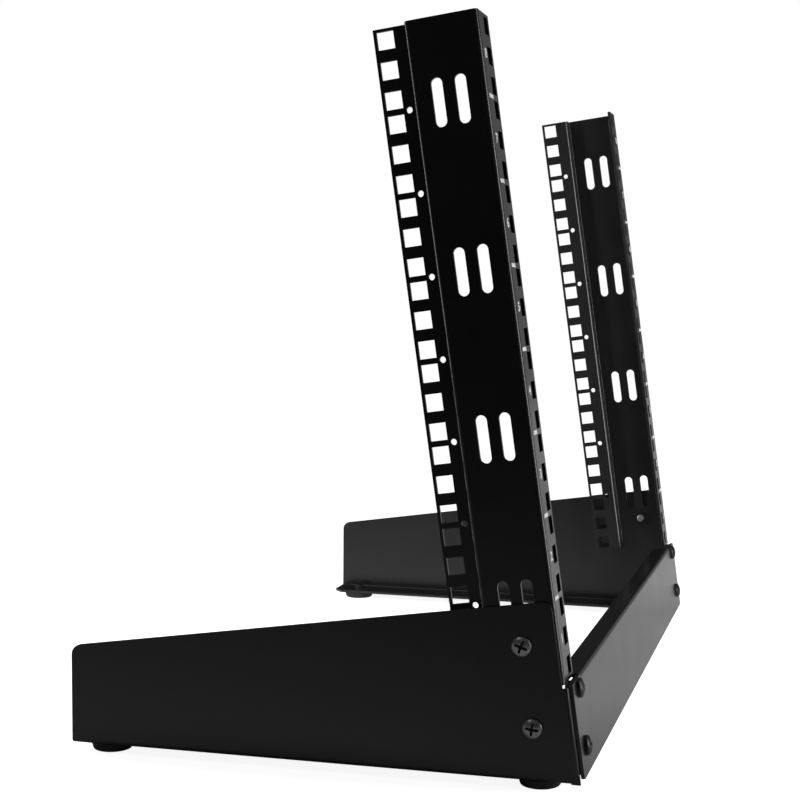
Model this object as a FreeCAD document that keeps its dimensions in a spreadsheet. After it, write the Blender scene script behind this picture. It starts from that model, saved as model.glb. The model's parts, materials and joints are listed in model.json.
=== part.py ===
"""Two post open frame rack for a desk or shelf, eight rack units high, in folded sheet steel.

Two leaning posts carry the equipment on their square-holed front flanges. Each post is
screwed to the inside of a low side plate, a crossbar joins the two side plates in front,
and four rubber feet stand under them. Millimetres, +Z up, the front faces -Y. The origin
is on the floor, midway between the sides and between the front and rear ends.
"""
import FreeCAD, Part
import math
import os
import re

import Sketcher

# Driving sizes: name, value in millimetres, degrees or a plain count, and what it is.
SIZES = (
    ("unit_height", 44.45, "height of one rack unit"),
    ("unit_count", 8, "rack units between the lowest and the highest unit line"),
    ("lean", 8.5, "how far the posts lean back, in degrees"),
    ("sheet_steel", 2, "thickness of every folded sheet"),
    ("bend_radius", 0.5, "inner radius of every bend"),
    ("clear_width", 450, "clear width between the two front flanges"),
    ("front_flange", 26, "width of a post's front flange, over the web"),
    ("post_depth", 59.2, "depth of a post, from its front face to its rear edge"),
    ("joggle_step", 8.5, "how far the rear flange is set in from the web"),
    ("rear_flange", 21.4, "width of the rear flange, over its joggle"),
    ("flange_drop", 1, "how far the post's flanges run below the lowest unit line"),
    ("tab_drop", 36, "how far the web's fixing tab runs below the lowest unit line"),
    ("tab_front", 5, "front edge of the fixing tab, behind the post's front face"),
    ("tab_rear", 36, "rear edge of the fixing tab, behind the post's front face"),
    ("tab_chamfer", 3, "chamfer of the fixing tab's lower corners"),
    ("square_hole", 9.5, "width of a square cage nut hole"),
    ("square_margin", 6.35, "first hole of a unit, below the unit line above it"),
    ("square_pitch", 15.875, "pitch of the three holes in a unit"),
    ("square_inset_front", 7.55, "front hole column, from the flange's inner edge"),
    ("square_inset_rear", 6.4, "rear hole column, from the rear edge"),
    ("marker_hole", 3.5, "diameter of the round hole that marks a unit line"),
    ("marker_inset", 14.3, "column of the round holes, from the rear edge"),
    ("slot_width", 6.3, "width of a cable slot in the web"),
    ("slot_length", 25.8, "length of a cable slot, end to end"),
    ("slot_pitch", 12.8, "distance between the two slots of a pair"),
    ("web_column", 20, "centre of the slots and the post screws, behind the front face"),
    ("front_reach", 135.15, "from the origin forward to the foot of the posts' front face"),
    ("rear_reach", 148.85, "from the origin back to the rear ends of the side plates"),
    ("foot_height", 5.3, "height of the rubber feet, and of the plates above the floor"),
    ("base_rise", 53.9, "lowest unit line at the front face, above the plates' underside"),
    ("plate_rise", 44.45, "top edge of a side plate above the lowest unit line"),
    ("plate_setback", 1.4, "front edge of a side plate behind the posts' front face"),
    ("plate_notch", 2.6, "where the side plate's front flange starts, below the unit line"),
    ("plate_forward", 1.8, "outer face of that flange, in front of the posts' front face"),
    ("plate_flange", 28, "width of the side plate's folded flanges, over the plate"),
    ("plate_rear_radius", 6, "rounding of a side plate's upper rear corner"),
    ("plate_front_radius", 5, "rounding of a side plate's upper front corner"),
    ("corner_relief", 5, "gap between the two folds at a side plate's front lower corner"),
    ("flange_clip", 6, "clipped inner corners of the side plate's lower flange"),
    ("bar_end_gap", 3.5, "gap from each end of the crossbar to the side plate's outer face"),
    ("bar_height", 51.7, "height of the crossbar's face"),
    ("bar_drop", 1.2, "top of the crossbar below the lowest unit line"),
    ("bar_flange", 13, "width of the crossbar's top flange, over the face"),
    ("bar_clearance", 2, "gap between the crossbar's top flange and a post's front flange"),
    ("bar_relief", 1.4, "width of the cut between the crossbar's top flange and each end"),
    ("bar_corner", 2, "rounding of the corners of the crossbar's face"),
    ("bar_screw_inset", 19.8, "crossbar screws, from the side plate's outer face"),
    ("bar_screw_drop", 6.7, "upper crossbar screws below the lowest unit line"),
    ("bar_screw_pitch", 31.8, "distance between the two crossbar screws at one end"),
    ("screw_shank", 5.5, "diameter of a frame screw's shank"),
    ("screw_head", 11, "diameter of a frame screw's pan head"),
    ("screw_head_height", 3.2, "height of a frame screw's pan head"),
    ("screw_head_bevel", 1.8, "bevel of a frame screw's head"),
    ("screw_tip", 1.2, "how far a frame screw's tip stands out of its nut"),
    ("nut_width", 8.4, "diameter of the pressed-in nut behind a frame screw"),
    ("nut_height", 2.2, "height of the pressed-in nut"),
    ("hole_play", 0.25, "radial clearance of every screw in its hole"),
    ("foot_top", 25, "diameter of a rubber foot under the plate"),
    ("foot_bottom", 22.6, "diameter of a rubber foot near the floor"),
    ("foot_edge", 1.6, "bevel of a rubber foot's lower edge"),
    ("foot_front", 14.4, "centre of a front foot, behind the foot of the front face"),
    ("foot_rear", 18.5, "centre of a rear foot, from the plate's rear end"),
    ("foot_recess", 10, "diameter of the screw recess in a foot"),
    ("foot_recess_depth", 2.8, "depth of the screw recess in a foot"),
    ("foot_shank", 3, "diameter of a foot screw's shank"),
    ("foot_screw_head", 6, "diameter of a foot screw's head"),
    ("foot_screw_head_height", 2, "height of a foot screw's head"),
    ("foot_screw_head_bevel", 0.8, "bevel of a foot screw's head"),
    ("foot_screw_tip", 0.6, "how far a foot screw's tip stands out of its nut"),
    ("foot_nut", 5.5, "width of a foot screw's hexagonal nut across its flats"),
    ("foot_nut_height", 2.4, "height of a foot screw's nut"),
)

# Lengths that several pieces share, written with the names of the driving sizes.
OUTER_RADIUS = "(bend_radius + sheet_steel)"
WEB_OUTER = "(clear_width / 2 + front_flange)"
WEB_MIDDLE = f"({WEB_OUTER} - sheet_steel / 2)"
REAR_OUTER = f"({WEB_OUTER} - joggle_step)"
PLATE_OUTER = f"({WEB_OUTER} + sheet_steel)"
BAR_SCREW_COLUMN = f"({PLATE_OUTER} - bar_screw_inset)"
BAR_HALF = f"({PLATE_OUTER} - bar_end_gap)"
FOOT_COLUMN = f"({PLATE_OUTER} - plate_flange / 2)"
SQUARE_COLUMN = "(clear_width / 2 + square_inset_front)"
POST_TOP = "(unit_count * unit_height)"
JOGGLE_FRONT = "(post_depth - rear_flange)"
BAR_FACE = "(plate_forward + sheet_steel)"
BAR_TOP = "(-bar_drop)"
BAR_BOTTOM = "(-bar_drop - bar_height)"
SCREW_HOLE = "(screw_shank + 2 * hole_play)"
FOOT_SCREW_HOLE = "(foot_shank + 2 * hole_play)"
SCREW_LENGTH = "(2 * sheet_steel + nut_height + screw_tip)"
FOOT_SCREW_LENGTH = "(foot_height - foot_recess_depth + sheet_steel + foot_nut_height + foot_screw_tip)"
BEND_LEG = f"({OUTER_RADIUS} + sheet_steel)"

# Where the fasteners and feet sit: heights above the lowest unit line, and places along the plates.
POST_SCREW_HEIGHTS = {"upper": "(unit_height / 2)", "lower": "(-unit_height / 2)"}
BAR_SCREW_HEIGHTS = {"upper": "(-bar_screw_drop)", "lower": "(-bar_screw_drop - bar_screw_pitch)"}
FOOT_PLACES = {"front": "(-front_reach + foot_front)", "rear": "(rear_reach - foot_rear)"}

LEFT, RIGHT = -1, 1
SIDES = (("left", LEFT), ("right", RIGHT))
MATCH = 1e-4

document = FreeCAD.newDocument("open_frame_rack")
sheet = document.addObject("Spreadsheet::Sheet", "Sizes")
for row, (alias, number, meaning) in enumerate(SIZES, 1):
    sheet.set(f"A{row}", meaning)
    sheet.set(f"B{row}", str(number))
    sheet.setAlias(f"B{row}", alias)
document.recompute()

ALIASES = {alias for alias, _, _ in SIZES}


def linked(text):
    """The same formula with each size's name pointing at its cell of the sheet."""
    def cell(word):
        return f"Sizes.{word[0]}" if word[0] in ALIASES else word[0]
    return re.sub(r"[a-z_]+", cell, text)


def value(text):
    """What a formula comes to with the sheet's present sizes."""
    return float(sheet.evalExpression(linked(text)))


def frame_y(behind, above):
    """World Y of a place behind the posts' front face and above the lowest unit line."""
    return f"(-front_reach + ({behind}) * cos(lean) + ({above}) * sin(lean))"


def frame_z(behind, above):
    """World Z of a place behind the posts' front face and above the lowest unit line."""
    return f"(foot_height + base_rise - ({behind}) * sin(lean) + ({above}) * cos(lean))"


def new_body(label):
    body = document.addObject("PartDesign::Body", label)
    body.Label = label
    return body


def place(body, x, y, z, axis=(1, 0, 0), turn="0"):
    """Set a body down at a place, turned about an axis by an angle in degrees."""
    rotation = FreeCAD.Rotation(FreeCAD.Vector(*axis), value(turn))
    body.Placement = FreeCAD.Placement(FreeCAD.Vector(value(x), value(y), value(z)), rotation)
    for name, text in (("Base.x", x), ("Base.y", y), ("Base.z", z), ("Rotation.Angle", turn)):
        body.setExpression(f"Placement.{name}", linked(text))


def lean_with_posts(body):
    """The body's own Y runs back from the posts' front face and its Z runs up the posts."""
    place(body, "0", frame_y("0", "0"), frame_z("0", "0"), axis=(-1, 0, 0), turn="lean")


def new_sketch(body, name, plane, lift="0"):
    """A sketch on one of the body's origin planes, lifted along the plane's normal."""
    sketch = body.newObject("Sketcher::SketchObject", name)
    support = [feature for feature in body.Origin.OriginFeatures if feature.Role == plane][0]
    sketch.AttachmentSupport = (support, [""])
    sketch.MapMode = "FlatFace"
    sketch.setExpression("AttachmentOffset.Base.z", linked(lift))
    return sketch


def pin_point(sketch, geometry, vertex, x, y):
    """Bind a point of the sketch to two formulas of the sheet."""
    for kind, text in (("DistanceX", x), ("DistanceY", y)):
        rule = Sketcher.Constraint(kind, -1, 1, geometry, vertex, value(text))
        index = sketch.addConstraint(rule)
        sketch.setExpression(f"Constraints[{index}]", linked(text))


def draw_outline(sketch, corners):
    """A closed outline of straight lines through corners given as pairs of formulas."""
    points = [FreeCAD.Vector(value(x), value(y), 0) for x, y in corners]
    first = sketch.GeometryCount
    count = len(points)
    for i, point in enumerate(points):
        sketch.addGeometry(Part.LineSegment(point, points[(i + 1) % count]))
    for i, (x, y) in enumerate(corners):
        following = first + (i + 1) % count
        sketch.addConstraint(Sketcher.Constraint("Coincident", first + i, 2, following, 1))
        pin_point(sketch, first + i, 1, x, y)


def draw_box(sketch, x, y, width, height):
    """A rectangle about a centre."""
    left, right = f"{x} - {width} / 2", f"{x} + {width} / 2"
    low, high = f"{y} - {height} / 2", f"{y} + {height} / 2"
    draw_outline(sketch, ((left, low), (right, low), (right, high), (left, high)))


def draw_circle(sketch, x, y, diameter):
    centre = FreeCAD.Vector(value(x), value(y), 0)
    circle = sketch.addGeometry(Part.Circle(centre, FreeCAD.Vector(0, 0, 1), value(diameter) / 2))
    pin_point(sketch, circle, 3, x, y)
    rule = sketch.addConstraint(Sketcher.Constraint("Diameter", circle, value(diameter)))
    sketch.setExpression(f"Constraints[{rule}]", linked(diameter))


def draw_upright_slot(sketch, x, y, width, length):
    """A slot with round ends, its length along the sketch's Y."""
    half, reach = value(width) / 2, (value(length) - value(width)) / 2
    centre = FreeCAD.Vector(value(x), value(y), 0)
    up = FreeCAD.Vector(0, reach, 0)
    side = FreeCAD.Vector(half, 0, 0)
    normal = FreeCAD.Vector(0, 0, 1)
    upper_circle = Part.Circle(centre + up, normal, half)
    lower_circle = Part.Circle(centre - up, normal, half)
    upper = sketch.addGeometry(Part.ArcOfCircle(upper_circle, 0, math.pi))
    lower = sketch.addGeometry(Part.ArcOfCircle(lower_circle, math.pi, 2 * math.pi))
    left = sketch.addGeometry(Part.LineSegment(centre + up - side, centre - up - side))
    right = sketch.addGeometry(Part.LineSegment(centre - up + side, centre + up + side))
    for one, end, other, start in ((upper, 2, left, 1), (left, 2, lower, 1),
                                   (lower, 2, right, 1), (right, 2, upper, 1)):
        sketch.addConstraint(Sketcher.Constraint("Tangent", one, end, other, start))
    rise = f"({length} - {width}) / 2"
    pin_point(sketch, upper, 3, x, f"{y} + {rise}")
    pin_point(sketch, lower, 3, x, f"{y} - {rise}")
    rule = sketch.addConstraint(Sketcher.Constraint("Radius", upper, half))
    sketch.setExpression(f"Constraints[{rule}]", linked(f"{width} / 2"))


def pad(body, name, sketch, length):
    """Material to both sides of the sketch."""
    feature = body.newObject("PartDesign::Pad", name)
    feature.Profile = sketch
    feature.SideType = "Symmetric"
    feature.setExpression("Length", linked(length))
    document.recompute()
    return feature


def cut(body, name, sketch, length):
    """A cut to both sides of the sketch, which has to take material away."""
    before = body.Shape.Volume
    feature = body.newObject("PartDesign::Pocket", name)
    feature.Profile = sketch
    feature.SideType = "Symmetric"
    feature.setExpression("Length", linked(length))
    document.recompute()
    if body.Shape.Volume > before - MATCH:
        raise RuntimeError(f"{body.Label}: {name} cuts nothing")
    return feature


def turn_profile(body, name, corners):
    """A round piece from half its section, about the body's own Z."""
    sketch = new_sketch(body, f"{name}_section", "XZ_Plane")
    draw_outline(sketch, corners)
    feature = body.newObject("PartDesign::Revolution", name)
    feature.Profile = sketch
    feature.ReferenceAxis = (sketch, ["V_Axis"])
    feature.Angle = 360
    document.recompute()


def repeat_up(body, name, feature, spacing, count):
    """Copies of a cut up the body's own Z."""
    pattern = body.newObject("PartDesign::LinearPattern", name)
    pattern.Originals = [feature]
    axis = [part for part in body.Origin.OriginFeatures if part.Role == "Z_Axis"][0]
    pattern.Direction = (axis, [""])
    pattern.Mode = "Spacing"
    pattern.setExpression("Offset", linked(spacing))
    pattern.setExpression("Occurrences", linked(count))
    body.Tip = pattern
    document.recompute()
    return pattern


def parallel(x, y, z):
    """Both ends of the edges along one axis: two formulas, and None for the axis itself."""
    return (x, y, z), (x, y, z)


def straight_edges(feature, lines):
    """Names of the feature's straight edges that run between the two ends of a given line."""
    found = []
    for line in lines:
        goals = [[None if text is None else value(text) for text in end] for end in line]
        for number, edge in enumerate(feature.Shape.Edges, 1):
            if not isinstance(edge.Curve, Part.Line):
                continue
            ends = [tuple(vertex.Point) for vertex in edge.Vertexes]
            if matches(ends, goals) or matches(ends[::-1], goals):
                found.append(f"Edge{number}")
    return found


def matches(points, goals):
    """True where each point has the goal's coordinates, apart from those left None."""
    return all(want is None or abs(have - want) < MATCH
               for point, goal in zip(points, goals) for have, want in zip(point, goal))


def dress(body, name, kind, edges, size):
    """Round the edges with a Fillet, or cut them with a Chamfer."""
    if not edges:
        raise RuntimeError(f"{body.Label}: {name} has no edge")
    feature = body.newObject(f"PartDesign::{kind}", name)
    feature.Base = (feature.BaseFeature, edges)
    feature.setExpression("Radius" if kind == "Fillet" else "Size", linked(size))
    document.recompute()
    return feature


def bend(body, name, lines, radius):
    """Round the edges along the given lines, as a fold of the sheet does."""
    return dress(body, name, "Fillet", straight_edges(body.Tip, lines), radius)


def make_post(label, side):
    """A post: front flange with square holes, web with cable slots, joggled rear flange."""
    body = new_body(label)
    web_outer, web_inner = f"{side} * {WEB_OUTER}", f"{side} * ({WEB_OUTER} - sheet_steel)"
    rear_outer, rear_inner = f"{side} * {REAR_OUTER}", f"{side} * ({REAR_OUTER} - sheet_steel)"
    flange_edge = f"{side} * clear_width / 2"
    joggle_rear = f"{JOGGLE_FRONT} + sheet_steel"
    section = new_sketch(body, f"{label}_section", "XY_Plane", f"({POST_TOP} - tab_drop) / 2")
    draw_outline(section, (
        (flange_edge, "0"), (web_outer, "0"), (web_outer, joggle_rear),
        (rear_outer, joggle_rear), (rear_outer, "post_depth"), (rear_inner, "post_depth"),
        (rear_inner, JOGGLE_FRONT), (web_inner, JOGGLE_FRONT),
        (web_inner, "sheet_steel"), (flange_edge, "sheet_steel")))
    pad(body, f"{label}_sheet", section, f"{POST_TOP} + tab_drop")
    bend(body, f"{label}_outer_bends", (
        parallel(web_outer, "0", None), parallel(web_outer, joggle_rear, None),
        parallel(rear_inner, JOGGLE_FRONT, None)), OUTER_RADIUS)
    bend(body, f"{label}_inner_bends", (
        parallel(web_inner, "sheet_steel", None), parallel(web_inner, JOGGLE_FRONT, None),
        parallel(rear_outer, joggle_rear, None)), "bend_radius")
    trim = new_sketch(body, f"{label}_tab_outline", "YZ_Plane", f"{side} * {WEB_MIDDLE} / 2")
    draw_outline(trim, (
        ("-sheet_steel", "-flange_drop"), ("tab_front", "-flange_drop"),
        ("tab_front", "-tab_drop + tab_chamfer"), ("tab_front + tab_chamfer", "-tab_drop"),
        ("tab_rear - tab_chamfer", "-tab_drop"), ("tab_rear", "-tab_drop + tab_chamfer"),
        ("tab_rear", "-flange_drop"), ("post_depth + sheet_steel", "-flange_drop"),
        ("post_depth + sheet_steel", "-tab_drop - sheet_steel"),
        ("-sheet_steel", "-tab_drop - sheet_steel")))
    cut(body, f"{label}_tab", trim, f"{WEB_OUTER} * 2")
    holes_down = [f"unit_height - square_margin - {i} * square_pitch" for i in range(3)]
    rear = new_sketch(body, f"{label}_rear_squares", "YZ_Plane",
                      f"{side} * ({REAR_OUTER} - sheet_steel / 2)")
    for height in holes_down:
        draw_box(rear, "post_depth - square_inset_rear", height, "square_hole", "square_hole")
    rear_cut = cut(body, f"{label}_rear_holes", rear, "2 * sheet_steel")
    repeat_up(body, f"{label}_rear_hole_rows", rear_cut, "unit_height", "unit_count")
    front = new_sketch(body, f"{label}_front_squares", "XZ_Plane", "-sheet_steel / 2")
    for height in holes_down:
        draw_box(front, f"{side} * {SQUARE_COLUMN}", height, "square_hole", "square_hole")
    front_cut = cut(body, f"{label}_front_holes", front, "2 * sheet_steel")
    repeat_up(body, f"{label}_front_hole_rows", front_cut, "unit_height", "unit_count")
    marker = new_sketch(body, f"{label}_marker", "YZ_Plane",
                        f"{side} * ({REAR_OUTER} - sheet_steel / 2)")
    draw_circle(marker, "post_depth - marker_inset", "0", "marker_hole")
    marker_cut = cut(body, f"{label}_marker_hole", marker, "2 * sheet_steel")
    repeat_up(body, f"{label}_marker_rows", marker_cut, "unit_height", "unit_count")
    slots = new_sketch(body, f"{label}_slot_pair", "YZ_Plane", f"{side} * {WEB_MIDDLE}")
    for way in (-1, 1):
        draw_upright_slot(slots, f"web_column + {way} * slot_pitch / 2", "unit_height",
                          "slot_width", "slot_length")
    slot_cut = cut(body, f"{label}_slots", slots, "2 * sheet_steel")
    repeat_up(body, f"{label}_slot_rows", slot_cut, "2 * unit_height", "floor(unit_count / 2)")
    fixing = new_sketch(body, f"{label}_fixing", "YZ_Plane", f"{side} * {WEB_MIDDLE}")
    for above in POST_SCREW_HEIGHTS.values():
        draw_circle(fixing, "web_column", above, SCREW_HOLE)
    cut(body, f"{label}_fixing_holes", fixing, "2 * sheet_steel")
    lean_with_posts(body)
    return body


def make_side_plate(label, side):
    """A side plate: flat plate with a lower flange and a short leaning front flange."""
    body = new_body(label)
    outer, inner = f"{side} * {PLATE_OUTER}", f"{side} * {WEB_OUTER}"
    flange_edge = f"{side} * ({PLATE_OUTER} - plate_flange)"
    top_behind = "(rear_reach + front_reach - plate_rise * sin(lean)) / cos(lean)"
    corner_y = ("(-front_reach - plate_forward * cos(lean)"
                " - (base_rise + plate_forward * sin(lean)) * tan(lean))")
    low_front = f"({corner_y} + corner_relief)"
    low_above = "(-(base_rise + plate_forward * sin(lean)) / cos(lean) + corner_relief)"

    lower = new_sketch(body, f"{label}_lower_section", "XZ_Plane", f"-(rear_reach + {low_front}) / 2")
    draw_outline(lower, (
        (outer, f"foot_height + {BEND_LEG}"), (outer, "foot_height"), (flange_edge, "foot_height"),
        (flange_edge, "foot_height + sheet_steel"), (inner, "foot_height + sheet_steel"),
        (inner, f"foot_height + {BEND_LEG}")))
    pad(body, f"{label}_lower_flange", lower, f"rear_reach - {low_front}")
    bend(body, f"{label}_lower_outer_bend", [parallel(outer, None, "foot_height")], OUTER_RADIUS)
    bend(body, f"{label}_lower_inner_bend",
         [parallel(inner, None, "foot_height + sheet_steel")], "bend_radius")
    clipped = straight_edges(body.Tip, (
        parallel(flange_edge, "rear_reach", None), parallel(flange_edge, low_front, None)))
    dress(body, f"{label}_lower_clip", "Chamfer", clipped, "flange_clip")

    front_middle = f"(-plate_notch + {low_above}) / 2"
    front = new_sketch(body, f"{label}_front_section", "XY_Plane")
    front.AttachmentOffset = FreeCAD.Placement(
        FreeCAD.Vector(), FreeCAD.Rotation(FreeCAD.Vector(-1, 0, 0), value("lean")))
    for name, text in (("Rotation.Angle", "lean"), ("Base.y", frame_y("0", front_middle)),
                       ("Base.z", frame_z("0", front_middle))):
        front.setExpression(f"AttachmentOffset.{name}", linked(text))
    draw_outline(front, (
        (outer, f"-plate_forward + {BEND_LEG}"), (outer, "-plate_forward"),
        (flange_edge, "-plate_forward"), (flange_edge, "-plate_forward + sheet_steel"),
        (inner, "-plate_forward + sheet_steel"), (inner, f"-plate_forward + {BEND_LEG}")))
    pad(body, f"{label}_front_flange", front, f"-plate_notch - {low_above}")
    for name, edge_x, behind, radius in (
            ("outer", outer, "-plate_forward", OUTER_RADIUS),
            ("inner", inner, "-plate_forward + sheet_steel", "bend_radius")):
        line = [(edge_x, frame_y(behind, above), frame_z(behind, above))
                for above in ("-plate_notch", low_above)]
        bend(body, f"{label}_front_{name}_bend", [line], radius)

    flat = new_sketch(body, f"{label}_outline", "YZ_Plane", f"{side} * ({WEB_OUTER} + sheet_steel / 2)")
    bend_edge = f"-plate_forward + {OUTER_RADIUS}"
    draw_outline(flat, (
        ("rear_reach", f"foot_height + {OUTER_RADIUS}"),
        ("rear_reach", frame_z(top_behind, "plate_rise")),
        (frame_y("plate_setback", "plate_rise"), frame_z("plate_setback", "plate_rise")),
        (frame_y("plate_setback", "-plate_notch"), frame_z("plate_setback", "-plate_notch")),
        (frame_y(bend_edge, "-plate_notch"), frame_z(bend_edge, "-plate_notch")),
        (frame_y(bend_edge, low_above), frame_z(bend_edge, low_above)),
        (frame_y("-plate_forward", low_above), frame_z("-plate_forward", low_above)),
        (corner_y, "foot_height"), (low_front, "foot_height"),
        (low_front, f"foot_height + {OUTER_RADIUS}")))
    pad(body, f"{label}_flat", flat, "sheet_steel")
    for name, behind, radius in (("rear", top_behind, "plate_rear_radius"),
                                 ("front", "plate_setback", "plate_front_radius")):
        corner = parallel(None, frame_y(behind, "plate_rise"), frame_z(behind, "plate_rise"))
        bend(body, f"{label}_{name}_corner", [corner], radius)

    fixing = new_sketch(body, f"{label}_fixing", "YZ_Plane",
                        f"{side} * ({WEB_OUTER} + sheet_steel / 2)")
    for above in POST_SCREW_HEIGHTS.values():
        draw_circle(fixing, frame_y("web_column", above), frame_z("web_column", above), SCREW_HOLE)
    cut(body, f"{label}_fixing_holes", fixing, "2 * sheet_steel")
    foot_holes = new_sketch(body, f"{label}_feet", "XY_Plane", "foot_height + sheet_steel / 2")
    for along in FOOT_PLACES.values():
        draw_circle(foot_holes, f"{side} * {FOOT_COLUMN}", along, FOOT_SCREW_HOLE)
    cut(body, f"{label}_foot_holes", foot_holes, "2 * sheet_steel")
    bar_holes = new_sketch(body, f"{label}_bar", "XZ_Plane")
    bar_holes.AttachmentOffset = FreeCAD.Placement(
        FreeCAD.Vector(), FreeCAD.Rotation(FreeCAD.Vector(-1, 0, 0), value("lean")))
    middle = "-plate_forward + sheet_steel / 2"
    for name, text in (("Rotation.Angle", "lean"), ("Base.y", frame_z(middle, "0")),
                       ("Base.z", f"-{frame_y(middle, '0')}")):
        bar_holes.setExpression(f"AttachmentOffset.{name}", linked(text))
    for above in BAR_SCREW_HEIGHTS.values():
        draw_circle(bar_holes, f"{side} * {BAR_SCREW_COLUMN}", above, SCREW_HOLE)
    cut(body, f"{label}_bar_holes", bar_holes, "2 * sheet_steel")
    return body


def make_crossbar(label):
    """The crossbar: a flat face with a top flange folded back between the posts."""
    body = new_body(label)
    flange_half = "(clear_width / 2 - bar_clearance)"
    fold = new_sketch(body, f"{label}_fold_section", "YZ_Plane")
    draw_outline(fold, (
        (f"-{BAR_FACE}", f"{BAR_TOP} - {BEND_LEG}"), (f"-{BAR_FACE}", BAR_TOP),
        (f"-{BAR_FACE} + bar_flange", BAR_TOP), (f"-{BAR_FACE} + bar_flange", f"{BAR_TOP} - sheet_steel"),
        ("-plate_forward", f"{BAR_TOP} - sheet_steel"), ("-plate_forward", f"{BAR_TOP} - {BEND_LEG}")))
    pad(body, f"{label}_flange", fold, f"2 * {flange_half}")
    bend(body, f"{label}_outer_bend", [parallel(None, f"-{BAR_FACE}", BAR_TOP)], OUTER_RADIUS)
    bend(body, f"{label}_inner_bend",
         [parallel(None, "-plate_forward", f"{BAR_TOP} - sheet_steel")], "bend_radius")
    face = new_sketch(body, f"{label}_face_outline", "XZ_Plane", "plate_forward + sheet_steel / 2")
    under_fold = f"{BAR_TOP} - {OUTER_RADIUS}"
    relief_end = f"({flange_half} + bar_relief)"
    draw_outline(face, (
        (f"-{BAR_HALF}", BAR_BOTTOM), (BAR_HALF, BAR_BOTTOM), (BAR_HALF, BAR_TOP),
        (relief_end, BAR_TOP), (relief_end, under_fold), (f"-{relief_end}", under_fold),
        (f"-{relief_end}", BAR_TOP), (f"-{BAR_HALF}", BAR_TOP)))
    pad(body, f"{label}_face", face, "sheet_steel")
    corners = [parallel(f"{side} * {BAR_HALF}", None, above)
               for _, side in SIDES for above in (BAR_TOP, BAR_BOTTOM)]
    bend(body, f"{label}_corners", corners, "bar_corner")
    holes = new_sketch(body, f"{label}_holes", "XZ_Plane", "plate_forward + sheet_steel / 2")
    for _, side in SIDES:
        for above in BAR_SCREW_HEIGHTS.values():
            draw_circle(holes, f"{side} * {BAR_SCREW_COLUMN}", above, SCREW_HOLE)
    cut(body, f"{label}_screw_holes", holes, "2 * sheet_steel")
    lean_with_posts(body)
    return body


def make_foot(label, side, along):
    """A tapered rubber foot with a recess for its screw."""
    body = new_body(label)
    bore = f"({FOOT_SCREW_HOLE} / 2)"
    slope = "((foot_top - foot_bottom) / 2 / foot_height)"
    turn_profile(body, f"{label}_rubber", (
        (bore, "foot_recess_depth"), ("foot_recess / 2", "foot_recess_depth"),
        ("foot_recess / 2", "0"), ("foot_bottom / 2 - foot_edge", "0"),
        (f"foot_bottom / 2 + foot_edge * {slope}", "foot_edge"),
        ("foot_top / 2", "foot_height"), (bore, "foot_height")))
    place(body, f"{side} * {FOOT_COLUMN}", along, "0")
    return body


def make_screw(label, shank, length, head, head_height, head_bevel):
    """A screw that seats at its own origin, with a bevelled head above and the shank below."""
    body = new_body(label)
    turn_profile(body, f"{label}_steel", (
        ("0", f"-{length}"), (f"{shank} / 2", f"-{length}"), (f"{shank} / 2", "0"),
        (f"{head} / 2", "0"), (f"{head} / 2", f"{head_height} - {head_bevel}"),
        (f"{head} / 2 - {head_bevel}", head_height), ("0", head_height)))
    return body


def make_frame_screw(label):
    return make_screw(label, "screw_shank", SCREW_LENGTH, "screw_head", "screw_head_height",
                      "screw_head_bevel")


def make_ring_nut(label):
    """The round nut pressed into the sheet behind a frame screw."""
    body = new_body(label)
    bore = f"({SCREW_HOLE} / 2)"
    turn_profile(body, f"{label}_steel", (
        (bore, "0"), ("nut_width / 2", "0"), ("nut_width / 2", "nut_height"), (bore, "nut_height")))
    return body


def make_hex_nut(label):
    """The hexagonal nut of a foot screw."""
    body = new_body(label)
    outline = new_sketch(body, f"{label}_outline", "XY_Plane", "foot_nut_height / 2")
    corner = "(foot_nut / sqrt(3))"
    draw_outline(outline, [(f"{corner} * cos({angle})", f"{corner} * sin({angle})")
                           for angle in range(0, 360, 60)])
    draw_circle(outline, "0", "0", FOOT_SCREW_HOLE)
    pad(body, f"{label}_steel", outline, "foot_nut_height")
    return body


pieces = []
for name, side in SIDES:
    pieces.append(make_post(f"{name}_post", side))
    pieces.append(make_side_plate(f"{name}_side_plate", side))
pieces.append(make_crossbar("front_crossbar"))

for name, side in SIDES:
    for level, above in POST_SCREW_HEIGHTS.items():
        y, z = frame_y("web_column", above), frame_z("web_column", above)
        screw = make_frame_screw(f"{name}_post_screw_{level}")
        place(screw, f"{side} * {PLATE_OUTER}", y, z, axis=(0, side, 0), turn="90")
        nut = make_ring_nut(f"{name}_post_nut_{level}")
        place(nut, f"{side} * ({WEB_OUTER} - sheet_steel)", y, z, axis=(0, -side, 0), turn="90")
        pieces += [screw, nut]
    for level, above in BAR_SCREW_HEIGHTS.items():
        x = f"{side} * {BAR_SCREW_COLUMN}"
        screw = make_frame_screw(f"{name}_bar_screw_{level}")
        place(screw, x, frame_y(f"-{BAR_FACE}", above), frame_z(f"-{BAR_FACE}", above),
              turn="90 - lean")
        behind = "-plate_forward + sheet_steel"
        nut = make_ring_nut(f"{name}_bar_nut_{level}")
        place(nut, x, frame_y(behind, above), frame_z(behind, above),
              axis=(-1, 0, 0), turn="90 + lean")
        pieces += [screw, nut]
    for end, along in FOOT_PLACES.items():
        x = f"{side} * {FOOT_COLUMN}"
        foot = make_foot(f"{name}_{end}_foot", side, along)
        screw = make_screw(f"{name}_{end}_foot_screw", "foot_shank", FOOT_SCREW_LENGTH,
                           "foot_screw_head", "foot_screw_head_height", "foot_screw_head_bevel")
        place(screw, x, along, "foot_recess_depth", turn="180")
        nut = make_hex_nut(f"{name}_{end}_foot_nut")
        place(nut, x, along, "foot_height + sheet_steel")
        pieces += [foot, screw, nut]

document.recompute()

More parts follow.
